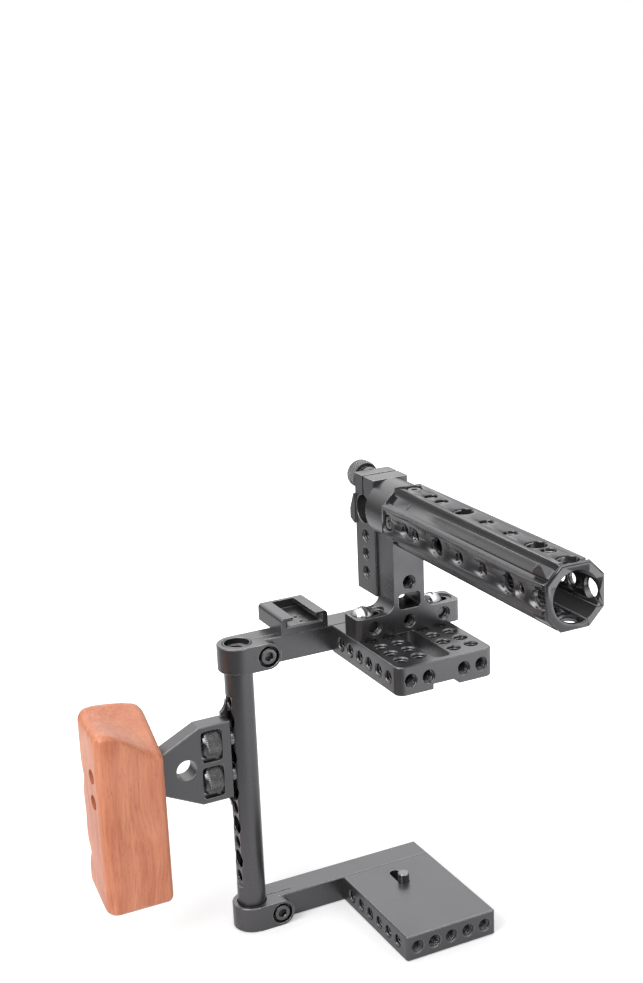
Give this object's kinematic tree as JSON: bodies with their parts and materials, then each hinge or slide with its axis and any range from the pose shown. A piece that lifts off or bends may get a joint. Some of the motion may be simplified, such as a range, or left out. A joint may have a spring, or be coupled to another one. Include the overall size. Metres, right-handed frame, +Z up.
{
  "type": "camera cage",
  "caption": "Camera cage: base and top plates joined by a side tube, with a wooden side grip and a perforated top handle.",
  "frame": {"origin": "mouth of the tripod hole in the middle of the base plate's underside", "axes": "+Z up from base to handle, +Y towards the lens, +X to the side away from the wooden grip"},
  "size_m": [0.194, 0.2015, 0.2412],
  "materials": {
    "black_aluminium": "black anodised, satin",
    "black_steel": "black oxide",
    "bright_steel": "turned",
    "chrome": "polished",
    "wood": "oiled hardwood"
  },
  "bodies": {
    "base": {"base_plate": "black_aluminium", "lower_arm": "black_aluminium", "lower_clamp_screw": "black_steel", "lower_arm_screw_left": "black_steel", "lower_arm_screw_right": "black_steel"},
    "camera_screw_clip": {"camera_screw_washer": "bright_steel"},
    "camera_screw": {"camera_screw": "bright_steel"},
    "side_grip": {"side_tube": "black_aluminium", "grip_bracket": "black_aluminium", "wooden_grip": "wood", "grip_screw_lower": "black_steel", "grip_screw_upper": "black_steel", "lower_wheel_collar": "bright_steel", "upper_wheel_collar": "bright_steel"},
    "lower_wheel": {"lower_thumb_wheel": "black_steel"},
    "upper_wheel": {"upper_thumb_wheel": "black_steel"},
    "top_carriage": {"upper_arm": "black_aluminium", "upper_clamp_screw": "black_steel", "upper_arm_screw_left": "black_steel", "upper_arm_screw_right": "black_steel", "cheese_plate": "black_aluminium", "cold_shoe": "black_aluminium", "cold_shoe_screw_front": "black_steel", "cold_shoe_screw_rear": "black_steel", "dome_screw_left": "chrome", "dome_screw_right": "chrome"},
    "top_handle": {"handle_stem": "black_aluminium", "handle_barrel": "black_aluminium", "barrel_screw_top": "black_steel", "barrel_screw_left": "black_steel", "barrel_screw_right": "black_steel", "rod_clamp_block": "black_aluminium", "block_screw_lower": "black_steel", "block_screw_upper": "black_steel"},
    "rod_knob": {"rod_clamp_knob": "black_steel"}
  },
  "joints": [
    {"name": "tube_swivel", "type": "hinge", "parent": "base", "child": "side_grip", "pos_m": [-0.0792, 0.0395, 0], "axis": [0, 0, 1], "continuous": true},
    {"name": "height_slide", "type": "slide", "parent": "side_grip", "child": "top_carriage", "axis": [0, 0, 1], "range_m": [-0.013, 0]},
    {"name": "handle_slide", "type": "slide", "parent": "top_carriage", "child": "top_handle", "axis": [1, 0, 0], "range_m": [-0.006, 0]},
    {"name": "rod_knob_spin", "type": "hinge", "parent": "top_handle", "child": "rod_knob", "pos_m": [0.003, 0.043, 0.23365], "axis": [0, 1, 0], "continuous": true},
    {"name": "lower_wheel_spin", "type": "hinge", "parent": "side_grip", "child": "lower_wheel", "pos_m": [-0.098, 0.0395, 0.09], "axis": [1, 0, 0], "continuous": true},
    {"name": "upper_wheel_spin", "type": "hinge", "parent": "side_grip", "child": "upper_wheel", "pos_m": [-0.098, 0.0395, 0.11], "axis": [1, 0, 0], "continuous": true},
    {"name": "camera_screw_slide", "type": "slide", "parent": "base", "child": "camera_screw_clip", "axis": [0, 1, 0], "range_m": [0, 0.009]},
    {"name": "camera_screw_spin", "type": "hinge", "parent": "camera_screw_clip", "child": "camera_screw", "pos_m": [0, 0.015, 0.007], "axis": [0, 0, 1], "continuous": true}
  ]
}
